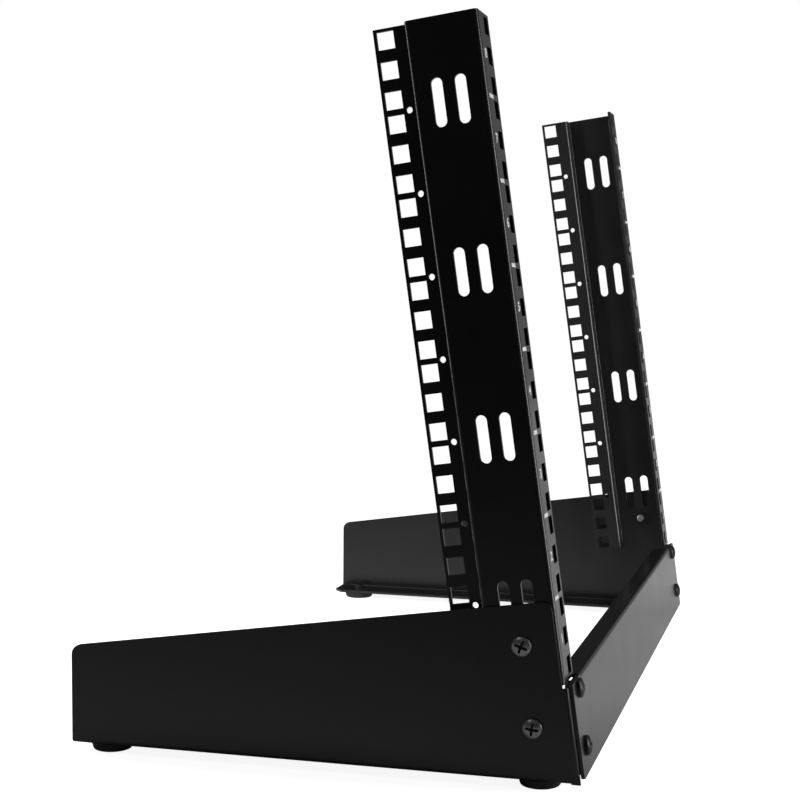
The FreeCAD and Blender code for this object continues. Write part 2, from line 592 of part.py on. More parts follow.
for item in document.Objects:
    if "Invalid" in item.State or "Error" in item.State:
        raise RuntimeError(f"{item.Label} failed: {item.State}")
for piece in pieces:
    if piece.Shape.isNull() or not piece.Shape.isValid() or len(piece.Shape.Solids) != 1:
        raise RuntimeError(f"{piece.Label} is not one valid solid")

os.makedirs("parts", exist_ok=True)
for piece in pieces:
    piece.Shape.exportStep(f"parts/{piece.Label}.step")
    box = piece.Shape.BoundBox
    print(f"{piece.Label}: {piece.Shape.Volume / 1000:.2f} cm3, "
          f"x {box.XMin:.1f} to {box.XMax:.1f}, y {box.YMin:.1f} to {box.YMax:.1f}, "
          f"z {box.ZMin:.1f} to {box.ZMax:.1f}")
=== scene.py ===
"""The looks of a two post open frame rack: its coat, rubber, screws, printed scale and studio.

Lengths are in metres and angles in degrees, except where a line says otherwise.
"""

import json
import logging
import math
from abc import ABC, abstractmethod
from dataclasses import dataclass
from enum import Enum
from typing import Callable, ClassVar, Iterable, Sequence

import bmesh
import bpy
from mathutils import Matrix, Vector


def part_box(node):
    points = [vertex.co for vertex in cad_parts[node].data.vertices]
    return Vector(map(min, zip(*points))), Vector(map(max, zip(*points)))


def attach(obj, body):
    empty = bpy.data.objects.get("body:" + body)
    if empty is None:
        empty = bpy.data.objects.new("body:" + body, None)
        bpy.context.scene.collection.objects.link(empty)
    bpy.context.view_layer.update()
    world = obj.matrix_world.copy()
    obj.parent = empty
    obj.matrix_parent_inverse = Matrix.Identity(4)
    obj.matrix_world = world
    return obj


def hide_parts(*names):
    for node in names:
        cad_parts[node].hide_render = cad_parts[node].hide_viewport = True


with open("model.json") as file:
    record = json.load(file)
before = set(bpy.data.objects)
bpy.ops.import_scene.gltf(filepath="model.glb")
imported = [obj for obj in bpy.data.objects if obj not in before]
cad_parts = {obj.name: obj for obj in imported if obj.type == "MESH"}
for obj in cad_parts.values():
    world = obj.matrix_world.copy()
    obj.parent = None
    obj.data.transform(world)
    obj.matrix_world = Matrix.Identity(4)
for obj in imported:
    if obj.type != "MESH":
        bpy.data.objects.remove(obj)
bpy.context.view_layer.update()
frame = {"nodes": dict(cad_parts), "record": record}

log = logging.getLogger("open_frame_rack")

ROOT = "root"
FACE_MOUNT = "left_rail_face"
FACE_MOUNT_UNITS = 4
UNIT_HEIGHT = 0.04445
UNIT_COUNT = 8
MERGE_DISTANCE = 1e-7
BEVEL_SAMPLES = 6
WHITE = (1.0, 1.0, 1.0, 1.0)
# Most values of a noise lie in this span of its full 0 to 1.
NOISE_SPAN = (0.3, 0.7)

Pair = tuple[float, float]
Place = tuple[float, float, float]
Colour = tuple[float, float, float]
Profile = Sequence[Pair]
Ring = list[bmesh.types.BMVert]
Socket = bpy.types.NodeSocket


class Side(Enum):
    """The two mirrored halves of the rack, with the sign of their X."""

    LEFT = -1
    RIGHT = 1

    @property
    def label(self) -> str:
        """The word that starts the names of this side's nodes."""
        return self.name.lower()


class Level(Enum):
    """The two screws of a pair, with the way each lies from the pair's middle."""

    UPPER = 1
    LOWER = -1

    @property
    def label(self) -> str:
        """The word that ends the names of this level's nodes."""
        return self.name.lower()


class End(Enum):
    """The two feet under one side plate."""

    FRONT = "front"
    REAR = "rear"


@dataclass(frozen=True)
class LeaningPlane:
    """The plane of the posts' front faces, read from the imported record's own mount.

    Args:
        origin: A point of the plane on the lowest unit line, in the middle of the rack.
        back: The unit vector square to the plane, towards the back of the rack.
        up: The unit vector up the posts.
    """

    origin: Vector
    back: Vector
    up: Vector

    @classmethod
    def from_record(cls, mount_name: str, units_up: int) -> "LeaningPlane":
        """Finds the plane from a mount on the front face.

        Args:
            mount_name: The mount that lies on the face.
            units_up: How many rack units the mount lies above the lowest unit line.

        Returns:
            The plane that the mount lies in.
        """
        mount = next(item for item in frame["record"]["mounts"] if item["name"] == mount_name)
        back = -Vector(mount["axis"]).normalized()
        up = Vector((1, 0, 0)).cross(back)
        place = Vector(mount["pos_m"]) - units_up * UNIT_HEIGHT * up
        return cls(Vector((0, place.y, place.z)), back, up)

    def point(self, x: float, behind: float, above: float) -> Vector:
        """A place given across the rack, behind the plane and above the lowest unit line."""
        return self.origin + Vector((x, 0, 0)) + behind * self.back + above * self.up

    def basis(self, x: float, behind: float, above: float) -> Matrix:
        """Sets a frame on the plane for flat work that is seen from the front.

        Args:
            x: Its place across the rack.
            behind: How far it lies behind the plane.
            above: How far it lies above the lowest unit line, up the posts.

        Returns:
            A frame whose X runs across, whose Y runs up the posts and whose Z faces the front.
        """
        matrix = Matrix((Vector((1, 0, 0)), self.up, -self.back)).transposed().to_4x4()
        matrix.translation = self.point(x, behind, above)
        return matrix


def aimed(spot: Vector, outward: Vector, upward: Vector, roll: float) -> Matrix:
    """Sets a frame at a spot, for a screw that is driven in there.

    Args:
        spot: The frame's origin.
        outward: The unit vector that its Z follows.
        upward: The unit vector that its Y follows before the roll.
        roll: How far it is turned about its Z.

    Returns:
        The frame.
    """
    across = upward.cross(outward).normalized()
    matrix = Matrix((across, outward.cross(across), outward)).transposed().to_4x4()
    matrix.translation = spot
    return matrix @ Matrix.Rotation(math.radians(roll), 4, "Z")


def set_inputs(node: bpy.types.Node, values: dict[str, object]) -> None:
    """Sets sockets of a node, each by its name."""
    for name, value in values.items():
        node.inputs[name].default_value = value


def mapped(tree: bpy.types.NodeTree, source: Socket, span: Pair, result: Pair) -> Socket:
    """Maps a range of a value to another range, and holds it at both ends.

    Args:
        tree: The node tree that gets the node.
        source: The value.
        span: The ends of its range.
        result: What they become.

    Returns:
        The mapped value.
    """
    node = tree.nodes.new("ShaderNodeMapRange")
    set_inputs(node, dict(zip(("From Min", "From Max", "To Min", "To Max"), (*span, *result))))
    tree.links.new(source, node.inputs["Value"])
    return node.outputs["Result"]


def combined(tree: bpy.types.NodeTree, operation: str, first: Socket, second: Socket | float) -> Socket:
    """Combines two values by a sum, a product or the like.

    Args:
        tree: The node tree that gets the node.
        operation: The math node's own name of the operation.
        first: The first value.
        second: The second value, or a constant.

    Returns:
        What the two values make.
    """
    node = tree.nodes.new("ShaderNodeMath")
    node.operation = operation
    tree.links.new(first, node.inputs[0])
    if isinstance(second, float):
        node.inputs[1].default_value = second
    else:
        tree.links.new(second, node.inputs[1])
    return node.outputs[0]


def backdrop_glow(tree: bpy.types.NodeTree, white: Socket | float, gloss: Socket | float) -> Socket:
    """Makes the glow that straight rays see, with a dimmer one for what gloss and glass show.

    Args:
        tree: The node tree that gets the nodes.
        white: The glow towards the camera.
        gloss: The glow towards mirrored rays and rays through glass.

    Returns:
        The strength of the glow.
    """
    path = tree.nodes.new("ShaderNodeLightPath")
    mirrored = combined(tree, "MAXIMUM", path.outputs["Is Glossy Ray"],
                        path.outputs["Is Transmission Ray"])
    straight = combined(tree, "MULTIPLY", path.outputs["Is Camera Ray"], white)
    return combined(tree, "MAXIMUM", straight, combined(tree, "MULTIPLY", mirrored, gloss))


class NodeGraph:
    """A material's shader nodes, wired with few words."""

    def __init__(self, name: str) -> None:
        """Starts a material with a principled shader.

        Args:
            name: The material's name.
        """
        self.material = bpy.data.materials.new(name)
        self.material.use_nodes = True
        self.tree = self.material.node_tree
        self.shader = self.tree.nodes["Principled BSDF"]
        self.place = self.add("ShaderNodeTexCoord").outputs["Object"]

    def add(self, kind: str) -> bpy.types.Node:
        """Adds a node of the given type."""
        return self.tree.nodes.new(kind)

    def link(self, source: Socket, node: bpy.types.Node, socket: str | int) -> None:
        """Joins an output to an input."""
        self.tree.links.new(source, node.inputs[socket])

    def noise(self, grain: float, detail: float) -> Socket:
        """Adds a noise over the object's own coordinates.

        Args:
            grain: The size of its features.
            detail: How many finer layers it has.

        Returns:
            The noise's value, from 0 to 1.
        """
        texture = self.add("ShaderNodeTexNoise")
        set_inputs(texture, {"Scale": 1 / grain, "Detail": detail})
        self.link(self.place, texture, "Vector")
        return texture.outputs["Fac"]

    def roughen(self, source: Socket, low: float, high: float) -> None:
        """Varies the surface's roughness between two values by a noise.

        Args:
            source: The noise's value.
            low: The roughness at the low end of the noise's usual span.
            high: The roughness at its high end.
        """
        self.link(mapped(self.tree, source, NOISE_SPAN, (low, high)), self.shader, "Roughness")

    def tint(self, source: Socket, dark: Colour, light: Colour) -> None:
        """Varies the surface's colour between two tones by a noise.

        Args:
            source: The noise's value.
            dark: The tone at the low end of the noise's usual span.
            light: The tone at its high end.
        """
        ramp = self.add("ShaderNodeValToRGB")
        for stop, position, tone in zip(ramp.color_ramp.elements, NOISE_SPAN, (dark, light)):
            stop.position = position
            stop.color = (*tone, 1)
        self.link(source, ramp, "Fac")
        self.link(ramp.outputs["Color"], self.shader, "Base Color")

    def relief(self, layers: Iterable[tuple[Socket, float]], edge: float) -> None:
        """Builds the surface's relief from layers of height on softened edges.

        Args:
            layers: Pairs of a value from 0 to 1 and its height.
            edge: The radius that softens every edge.
        """
        soft = self.add("ShaderNodeBevel")
        soft.samples = BEVEL_SAMPLES
        set_inputs(soft, {"Radius": edge})
        normal = soft.outputs["Normal"]
        for source, height in layers:
            bump = self.add("ShaderNodeBump")
            set_inputs(bump, {"Strength": 1, "Distance": height})
            self.link(source, bump, "Height")
            self.link(normal, bump, "Normal")
            normal = bump.outputs["Normal"]
        self.link(normal, self.shader, "Normal")


class Finish(ABC):
    """A surface finish that makes its material once and then reuses it."""

    made: ClassVar[dict["Finish", bpy.types.Material]] = {}
    slot: str

    def material(self) -> bpy.types.Material:
        """Gives the finish's material, which is made at its first use.

        Returns:
            The material.
        """
        if self not in Finish.made:
            Finish.made[self] = self.build()
        return Finish.made[self]

    @abstractmethod
    def build(self) -> bpy.types.Material:
        """Makes the material."""

    def coat(self, piece: bpy.types.Object) -> None:
        """Puts the finish on a piece, in place of what it had."""
        piece.data.materials.clear()
        piece.data.materials.append(self.material())


@dataclass(frozen=True)
class PowderCoat(Finish):
    """Baked black powder: near black, satin, with a fine pebbled skin.

    Args:
        slot: The material slot that its pieces fill. Not used.
        dark: The darker tone of its patches.
        light: The lighter tone.
        sheen_low: The roughness of the glossier patches.
        sheen_high: The roughness of the duller ones.
        specular: The shader's specular level.
        pebble: The size of a pebble of the skin.
        pebble_height: How far it stands up.
        flow: The size of the slow waves that the melted powder leaves.
        flow_height: How far they stand up.
        patch: The size of the patches of tone and sheen.
        edge: The radius that softens every edge.
    """

    slot: str = "powder_coat"
    dark: Colour = (0.0095, 0.0095, 0.0100)
    light: Colour = (0.0135, 0.0135, 0.0140)
    sheen_low: float = 0.225
    sheen_high: float = 0.245
    specular: float = 0.5
    pebble: float = 0.0007
    pebble_height: float = 0.000010
    flow: float = 0.008
    flow_height: float = 0.000002
    patch: float = 0.03
    edge: float = 0.0003

    def build(self) -> bpy.types.Material:
        """Makes the coat with pebbles, slow flow marks and patches of sheen.

        Returns:
            The coat's material.
        """
        graph = NodeGraph("black_powder_coat")
        patches = graph.noise(self.patch, detail=3)
        pebbles = graph.noise(self.pebble, detail=1)
        flow = graph.noise(self.flow, detail=2)
        graph.tint(patches, self.dark, self.light)
        graph.roughen(patches, self.sheen_low, self.sheen_high)
        set_inputs(graph.shader, {"Specular IOR Level": self.specular})
        graph.relief(((flow, self.flow_height), (pebbles, self.pebble_height)), self.edge)
        return graph.material


@dataclass(frozen=True)
class MouldedRubber(Finish):
    """Matt black rubber with a fine moulded grain and paler scuffs.

    Args:
        slot: The material slot that its pieces fill. Not used.
        dark: The tone of clean rubber.
        light: The tone of the scuffs.
        roughness: The roughness all over.
        specular: The shader's specular level.
        scuff: The size of a scuff.
        grain: The size of the moulded grain.
        grain_height: How far it stands up.
        edge: The radius that softens every edge.
    """

    slot: str = "rubber"
    dark: Colour = (0.028, 0.028, 0.028)
    light: Colour = (0.050, 0.049, 0.048)
    roughness: float = 0.62
    specular: float = 0.35
    scuff: float = 0.006
    grain: float = 0.0004
    grain_height: float = 0.00002
    edge: float = 0.0003

    def build(self) -> bpy.types.Material:
        """Makes the rubber with grain and scuffs.

        Returns:
            The rubber's material.
        """
        graph = NodeGraph("black_rubber")
        graph.tint(graph.noise(self.scuff, detail=4), self.dark, self.light)
        set_inputs(graph.shader, {"Roughness": self.roughness, "Specular IOR Level": self.specular})
        graph.relief([(graph.noise(self.grain, detail=1), self.grain_height)], self.edge)
        return graph.material


@dataclass(frozen=True)
class ScrewSteel(Finish):
    """Plated or blackened steel with fine turning marks and small variations of tone.

    Args:
        slot: The material slot that its pieces fill. Not used.
        name: The material's name.
        dark: The darker tone of its mottle.
        light: The lighter tone.
        metallic: How metallic it is.
        roughness_low: The roughness of the glossier spots.
        roughness_high: The roughness of the duller ones.
        mottle: The size of the spots.
        mark: The size of a turning mark.
        mark_height: How far it stands up.
        edge: The radius that softens every edge.
    """

    slot: str
    name: str
    dark: Colour
    light: Colour
    metallic: float
    roughness_low: float
    roughness_high: float
    mottle: float = 0.0015
    mark: float = 0.0003
    mark_height: float = 0.000006
    edge: float = 0.0001

    def build(self) -> bpy.types.Material:
        """Makes the steel with its mottle and marks.

        Returns:
            The steel's material.
        """
        graph = NodeGraph(self.name)
        mottle = graph.noise(self.mottle, detail=3)
        graph.tint(mottle, self.dark, self.light)
        set_inputs(graph.shader, {"Metallic": self.metallic})
        graph.roughen(mottle, self.roughness_low, self.roughness_high)
        graph.relief([(graph.noise(self.mark, detail=1), self.mark_height)], self.edge)
        return graph.material


@dataclass(frozen=True)
class PrintedInk(Finish):
    """Matt white ink printed thinly on the coat, a little thinner in places.

    Args:
        slot: The material slot that its pieces fill. Not used.
        dark: The tone where the ink is thin.
        light: The tone where it is full.
        roughness: The roughness all over.
        wear: The size of the thinner places.
        grain: The size of the coat's pebbles under the ink.
        grain_height: How far they stand up.
        edge: The radius that softens every edge.
    """

    slot: str = "white_ink"
    dark: Colour = (0.80, 0.80, 0.79)
    light: Colour = (0.92, 0.92, 0.91)
    roughness: float = 0.55
    wear: float = 0.0012
    grain: float = 0.0005
    grain_height: float = 0.000008
    edge: float = 0.00002

    def build(self) -> bpy.types.Material:
        """Makes the ink with its thinner places.

        Returns:
            The ink's material.
        """
        graph = NodeGraph("white_ink")
        graph.tint(graph.noise(self.wear, detail=3), self.dark, self.light)
        set_inputs(graph.shader, {"Roughness": self.roughness})
        graph.relief([(graph.noise(self.grain, detail=1), self.grain_height)], self.edge)
        return graph.material


POWDER = PowderCoat()
RUBBER = MouldedRubber()
INK = PrintedInk()
GREY_STEEL = ScrewSteel("grey_screw", "dark_grey_steel",
                        dark=(0.26, 0.26, 0.27), light=(0.42, 0.42, 0.43),
                        metallic=0.85, roughness_low=0.30, roughness_high=0.42)
BLACK_STEEL = ScrewSteel("black_screw", "black_oxide_steel",
                         dark=(0.008, 0.008, 0.009), light=(0.016, 0.016, 0.017),
                         metallic=0.2, roughness_low=0.28, roughness_high=0.40)
# Painted shade: near black, matt steel that goes on the cross recess's walls to stand in for the shade
# inside the recess.
RECESS_PAINTED_SHADE_STEEL = ScrewSteel("black_screw", "dark_recess_steel",
                          dark=(0.006, 0.006, 0.006), light=(0.014, 0.014, 0.014),
                          metallic=0.0, roughness_low=0.50, roughness_high=0.65)


def new_piece(name: str, mesh: bpy.types.Mesh, finish: Finish) -> bpy.types.Object:
    """Makes a mesh into a finished piece that belongs to the rack.

    Args:
        name: The piece's name.
        mesh: Its mesh, in the rack's own frame.
        finish: The finish that it gets.

    Returns:
        The piece, riding with the rack.
    """
    piece = bpy.data.objects.new(name, mesh)
    bpy.context.scene.collection.objects.link(piece)
    finish.coat(piece)
    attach(piece, ROOT)
    log.info("%s: %d faces", name, len(mesh.polygons))
    return piece


def mesh_from(build: Callable[[bmesh.types.BMesh], None], name: str, smooth_angle: float) -> bpy.types.Mesh:
    """Makes a mesh from a function that fills a bmesh.

    Args:
        build: Fills the bmesh with faces.
        name: The mesh's name.
        smooth_angle: Edges that turn less than this are shaded smooth.

    Returns:
        The finished mesh.
    """
    work = bmesh.new()
    build(work)
    bmesh.ops.remove_doubles(work, verts=work.verts, dist=MERGE_DISTANCE)
    bmesh.ops.recalc_face_normals(work, faces=work.faces)
    for face in work.faces:
        face.smooth = True
    for edge in work.edges:
        edge.smooth = edge.is_manifold and edge.calc_face_angle() < math.radians(smooth_angle)
    mesh = bpy.data.meshes.new(name)
    work.to_mesh(mesh)
    work.free()
    return mesh


def add_ring(work: bmesh.types.BMesh, place: Matrix, radii: Sequence[float], height: float) -> Ring:
    """Adds a ring of points about the local Z axis.

    Args:
        work: The bmesh that gets the points.
        place: The matrix that sets the ring in the rack.
        radii: Each point's distance from the axis, at even steps of the turn.
        height: The ring's height on the axis.

    Returns:
        The ring's points in order.
    """
    turns = (2 * math.pi * step / len(radii) for step in range(len(radii)))
    return [work.verts.new(place @ Vector((radius * math.cos(turn), radius * math.sin(turn), height)))
            for radius, turn in zip(radii, turns)]


def bridge(work: bmesh.types.BMesh, rings: Sequence[Ring]) -> None:
    """Joins each ring to the next by faces.

    Args:
        work: The bmesh that gets the faces.
        rings: Rings of equally many points, or of a single point where a surface closes.
    """
    for lower, upper in zip(rings, rings[1:]):
        count = max(len(lower), len(upper))
        for step in range(count):
            after = (step + 1) % count
            corners = [lower[step % len(lower)], lower[after % len(lower)],
                       upper[after % len(upper)], upper[step % len(upper)]]
            work.faces.new(list(dict.fromkeys(corners)))


def lathe(work: bmesh.types.BMesh, profile: Profile, segments: int, place: Matrix) -> None:
    """Turns a profile about the local Z axis.

    Args:
        work: The bmesh that gets the faces.
        profile: Pairs of radius and height along the surface. A radius of 0 closes it.
        segments: How many steps make the full turn.
        place: The matrix that sets the turned piece in the rack.
    """
    bridge(work, [add_ring(work, place, [radius] * (segments if radius else 1), height)
                  for radius, height in profile])


def quarter_round(centre: Pair, radius: float, start: float, steps: int) -> list[Pair]:
    """Follows a quarter of a circle in a profile.

    Args:
        centre: The circle's centre as radius and height.
        radius: The circle's own radius.
        start: The angle where the quarter starts.
        steps: How many straight steps follow it.

    Returns:
        The quarter's points, both ends among them.
    """
    angles = (math.radians(start + 90 * step / steps) for step in range(steps + 1))
    return [(centre[0] + radius * math.cos(angle), centre[1] + radius * math.sin(angle))
            for angle in angles]


def settle(piece: bpy.types.Object) -> None:
    """Applies a piece's modifiers to its mesh.

    Args:
        piece: The piece, which keeps its name and place.
    """
    graph = bpy.context.evaluated_depsgraph_get()
    mesh = bpy.data.meshes.new_from_object(piece.evaluated_get(graph))
    piece.modifiers.clear()
    old = piece.data
    piece.data = mesh
    bpy.data.meshes.remove(old)


@dataclass
class SheetSteelFrame:
    """The posts, side plates and crossbar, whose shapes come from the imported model.

    Args:
        finish: The coat that they get.
        stems: What follows the side in the names of the paired nodes.
    """

    finish: Finish = POWDER
    stems: tuple[str, ...] = ("post", "side_plate", "post_nut_upper", "post_nut_lower",
                              "bar_nut_upper", "bar_nut_lower")

    def dress(self) -> None:
        """Coats every folded sheet and the nuts that are pressed into them."""
        names = [f"{side.label}_{stem}" for side in Side for stem in self.stems]
        for name in ["front_crossbar", *names]:
            self.finish.coat(frame["nodes"][name])
            log.info("%s: coated", name)


@dataclass
class UnitScale:
    """The printed scale on a post's front face: a tick at each unit line and a number between.

    Args:
        plane: The plane of the posts' front faces.
        side: Which post.
        tick_inner: A tick's inner end, from the rack's middle.
        tick_outer: Its outer end.
        tick_height: How far the printed line reaches up the post.
        number_height: How tall a number is.
        number_width: How far a number is widened.
        number_weight: How far its outline is thickened.
        font_share: The share of the font's size that a number's height takes.
        ink_thickness: How far the ink stands on the coat.
        smooth_angle: Edges that turn less than this are shaded smooth.
    """

    plane: LeaningPlane
    side: Side
    tick_inner: float = 0.2375
    tick_outer: float = 0.2470
    tick_height: float = 0.0021
    number_height: float = 0.0048
    number_width: float = 1.5
    number_weight: float = 0.00022
    font_share: float = 0.7
    ink_thickness: float = 0.00004
    smooth_angle: float = 30.0

    def build(self) -> None:
        """Prints the ticks and the numbers."""
        label = self.side.label
        ticks = mesh_from(self.add_ticks, f"{label}_ticks", self.smooth_angle)
        new_piece(f"{label}_post_unit_ticks", ticks, INK)
        numbers = mesh_from(self.add_numbers, f"{label}_numbers", self.smooth_angle)
        new_piece(f"{label}_post_unit_numbers", numbers, INK)

    def mark_place(self, units_up: float) -> Matrix:
        """Sets a frame for a mark in the scale's column.

        Args:
            units_up: How many rack units the mark lies above the lowest unit line.

        Returns:
            A frame in the middle of the ink's thickness, that faces the front.
        """
        middle = self.side.value * (self.tick_inner + self.tick_outer) / 2
        return self.plane.basis(middle, -self.ink_thickness / 2, units_up * UNIT_HEIGHT)

    def add_ticks(self, work: bmesh.types.BMesh) -> None:
        """Adds one flat bar on each unit line but the lowest.

        Args:
            work: The bmesh that gets the bars.
        """
        size = (self.tick_outer - self.tick_inner, self.tick_height, self.ink_thickness)
        for unit in range(1, UNIT_COUNT):
            place = self.mark_place(unit)
            bmesh.ops.create_cube(work, size=1, matrix=place @ Matrix.Diagonal((*size, 1)))

    def add_numbers(self, work: bmesh.types.BMesh) -> None:
        """Adds the number of each unit, midway between its two lines.

        Args:
            work: The bmesh that gets the numbers.
        """
        for unit in range(UNIT_COUNT):
            curve = bpy.data.curves.new("number", "FONT")
            curve.body = str(unit + 1)
            curve.align_x = "CENTER"
            curve.align_y = "CENTER"
            curve.size = self.number_height / self.font_share
            curve.extrude = self.ink_thickness / 2
            curve.offset = self.number_weight
            outline = bpy.data.objects.new("number", curve)
            mesh = bpy.data.meshes.new_from_object(outline)
            widened = Matrix.Diagonal((self.number_width, 1, 1, 1))
            mesh.transform(self.mark_place(unit + 0.5) @ widened)
            work.from_mesh(mesh)
            bpy.data.objects.remove(outline)
            bpy.data.curves.remove(curve)
            bpy.data.meshes.remove(mesh)


@dataclass
class PanScrew:
    """A pan head screw with a cross recess and a wound thread, seated in the sheet.

    Args:
        node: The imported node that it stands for.
        place: A frame whose Z leaves the sheet through the head, at the head's seat.
        finish: The finish of the steel.
        head_width: The head's diameter.
        head_height: The dome's top above the seat.
        rim_height: The head's straight rim below the dome.
        dome_steps: How many rings round the dome's quarter turn.
        shank_width: The thread's outer diameter.
        length: How far the shank reaches in from the seat.
        pitch: The thread's rise in one turn.
        thread_depth: How deep its groove is.
        thread_steps: How many rings follow one turn of the thread.
        recess_width: The span of the cross at the top of its cutter.
        recess_slot: The width of each arm there.
        recess_depth: The cross's depth below the dome's top.
        recess_taper: The cutter's scale at its floor, beside 1 at its top.
        recess_margin: How far the cutter's top stands above the dome's.
        segments: How many steps make the full turn. No point of the dome may lie on a corner of
            the cross, or the cut mesh isn't closed there.
        smooth_angle: Edges of the screw that turn less than this are shaded smooth.
        recess_smooth_angle: The same for the cutter of the cross.
    """

    node: str
    place: Matrix
    finish: Finish
    head_width: float = 0.0110
    head_height: float = 0.0032
    rim_height: float = 0.0009
    dome_steps: int = 10
    shank_width: float = 0.0055
    length: float = 0.0074
    pitch: float = 0.0009
    thread_depth: float = 0.00028
    thread_steps: int = 8
    recess_width: float = 0.0092
    recess_slot: float = 0.0016
    recess_depth: float = 0.0024
    recess_taper: float = 0.55
    recess_margin: float = 0.001
    segments: int = 52
    smooth_angle: float = 35.0
    recess_smooth_angle: float = 30.0

    def build(self) -> None:
        """Makes the screw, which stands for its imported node."""
        body = mesh_from(self.add_body, f"{self.node}_body", self.smooth_angle)
        piece = new_piece(f"{self.node}_steel", body, self.finish)
        self.cut_recess(piece)
        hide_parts(self.node)

    def add_body(self, work: bmesh.types.BMesh) -> None:
        """Turns the domed head and winds the thread of the shank.

        Args:
            work: The bmesh that gets the faces.
        """
        half = self.head_width / 2
        dome = self.head_height - self.rim_height
        angles = [math.radians(90 * step / self.dome_steps) for step in range(self.dome_steps)]
        crown = [(half * math.cos(angle), self.rim_height + dome * math.sin(angle))
                 for angle in reversed(angles)]
        head = [(0, self.head_height), *crown, (half, 0), (self.shank_width / 2, 0)]
        lathe(work, head, self.segments, self.place)
        self.add_thread(work)

    def add_thread(self, work: bmesh.types.BMesh) -> None:
        """Winds the thread round the shank, from a plain start to a bevelled tip.

        Args:
            work: The bmesh that gets the faces.
        """
        count = int(self.length / self.pitch * self.thread_steps)
        rings = []
        for ring in range(count + 1):
            height = -self.length * ring / count
            plain = max(0.0, 1 - ring / self.thread_steps)
            bevel = max(0.0, self.thread_depth * 2 - (self.length + height))
            radii = []
            for step in range(self.segments):
                phase = step / self.segments + height / self.pitch
                groove = abs(2 * (phase % 1) - 1) * self.thread_depth
                radii.append(self.shank_width / 2 - groove * (1 - plain) - bevel)
            rings.append(add_ring(work, self.place, radii, height))
        bridge(work, rings)
        work.faces.new(rings[-1])

    def cut_recess(self, piece: bpy.types.Object) -> None:
        """Cuts the cross out of the head and gives its walls a near black, matt steel as painted shade.

        Args:
            piece: The screw with a plain head.
        """
        cross = mesh_from(self.add_cross, f"{self.node}_cross", self.recess_smooth_angle)
        cross.materials.append(RECESS_PAINTED_SHADE_STEEL.material())
        cutter = bpy.data.objects.new(f"{self.node}_cutter", cross)
        bpy.context.scene.collection.objects.link(cutter)
        cut = piece.modifiers.new("cross_recess", "BOOLEAN")
        cut.operation = "DIFFERENCE"
        cut.solver = "EXACT"
        # The cut walls keep the cutter's near black steel, the recess's painted shade.
        cut.material_mode = "TRANSFER"
        cut.object = cutter
        settle(piece)
        bpy.data.objects.remove(cutter)

    def add_cross(self, work: bmesh.types.BMesh) -> None:
        """Makes the tapered cross that is cut out of the head.

        Args:
            work: The bmesh that gets the faces.
        """
        reach = self.recess_width / 2
        half_slot = self.recess_slot / 2
        outline = []
        for quarter in range(4):
            turn = Matrix.Rotation(math.radians(90 * quarter), 3, "Z")
            for x, y in ((half_slot, -half_slot), (reach, -half_slot), (reach, half_slot)):
                outline.append(turn @ Vector((x, y, 0)))
        ordered = sorted(outline, key=lambda corner: math.atan2(corner.y, corner.x))
        levels = ((self.head_height + self.recess_margin, 1.0),
                  (self.head_height - self.recess_depth, self.recess_taper))
        rings = [[work.verts.new(self.place @ Vector((corner.x * scale, corner.y * scale, height)))
                  for corner in ordered] for height, scale in levels]
        bridge(work, rings)
        for ring in rings:
            work.faces.new(ring)


@dataclass
class RubberFoot:
    """A tapered rubber foot with a rounded lip and a recess for its screw.

    Args:
        node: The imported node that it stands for.
        top_width: Its diameter under the flange.
        bottom_width: Its diameter at the lip.
        height: Its height from the floor to the flange.
        lip: The radius of its lower, outer edge.
        lip_steps: How many steps follow that edge.
        crown: The radius of its upper, outer edge.
        crown_steps: How many steps follow that edge.
        recess_width: The diameter of the recess for the screw's head.
        recess_depth: The recess's depth from the floor.
        bore_width: The diameter of the bore for the screw's shank.
        segments: How many steps make the full turn.
        smooth_angle: Edges that turn less than this are shaded smooth.
    """

    node: str
    top_width: float = 0.0250
    bottom_width: float = 0.0226
    height: float = 0.0053
    lip: float = 0.0016
    lip_steps: int = 6
    crown: float = 0.0004
    crown_steps: int = 3
    recess_width: float = 0.010
    recess_depth: float = 0.0028
    bore_width: float = 0.0035
    segments: int = 64
    smooth_angle: float = 40.0

    def build(self) -> None:
        """Makes the foot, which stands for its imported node."""
        body = mesh_from(self.add_body, self.node, self.smooth_angle)
        piece = new_piece(f"{self.node}_rubber", body, RUBBER)
        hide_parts(self.node)

    def add_body(self, work: bmesh.types.BMesh) -> None:
        """Turns the foot's section, which ends where it starts, about the foot's own middle.

        Args:
            work: The bmesh that gets the faces.
        """
        low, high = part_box(self.node)
        place = Matrix.Translation(((low.x + high.x) / 2, (low.y + high.y) / 2, low.z))
        bottom, top = self.bottom_width / 2, self.top_width / 2
        bore, recess = self.bore_width / 2, self.recess_width / 2
        lip = quarter_round((bottom - self.lip, self.lip), self.lip, -90, self.lip_steps)
        crown = quarter_round((top - self.crown, self.height - self.crown), self.crown, 0,
                              self.crown_steps)
        section = [(bore, self.height), (bore, self.recess_depth), (recess, self.recess_depth),
                   (recess, 0), *lip, *crown, (bore, self.height)]
        lathe(work, section, self.segments, place)


